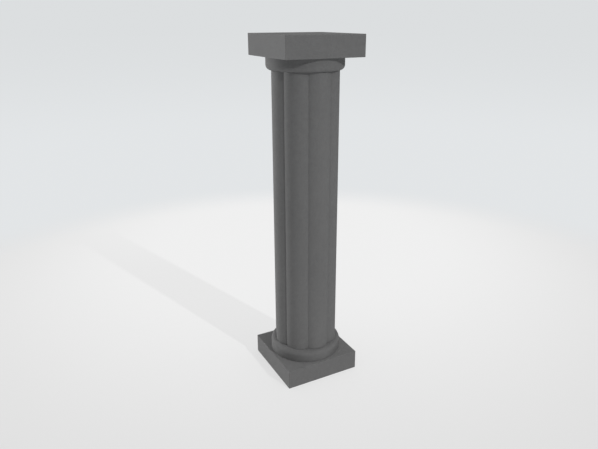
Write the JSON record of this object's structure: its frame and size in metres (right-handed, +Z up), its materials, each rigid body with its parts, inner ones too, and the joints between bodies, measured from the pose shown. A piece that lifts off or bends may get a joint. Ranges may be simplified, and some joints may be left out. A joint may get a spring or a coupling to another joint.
{
  "type": "stone column",
  "caption": "Straight reeded stone column that carries a beam, with a round disc and a square slab at its foot and, turned over, at its head.",
  "frame": {"origin": "centre of the plinth's underside, on the column's axis", "axes": "+Z up the column's axis, from the plinth to the abacus; X and Y square to the sides of the plinth"},
  "size_m": [0.6, 0.6, 2.5896],
  "materials": {
    "stone": "honed dark grey stone, fine and even grain"
  },
  "bodies": {
    "root": {"base": "stone", "shaft": "stone", "capital": "stone"}
  },
  "joints": []
}
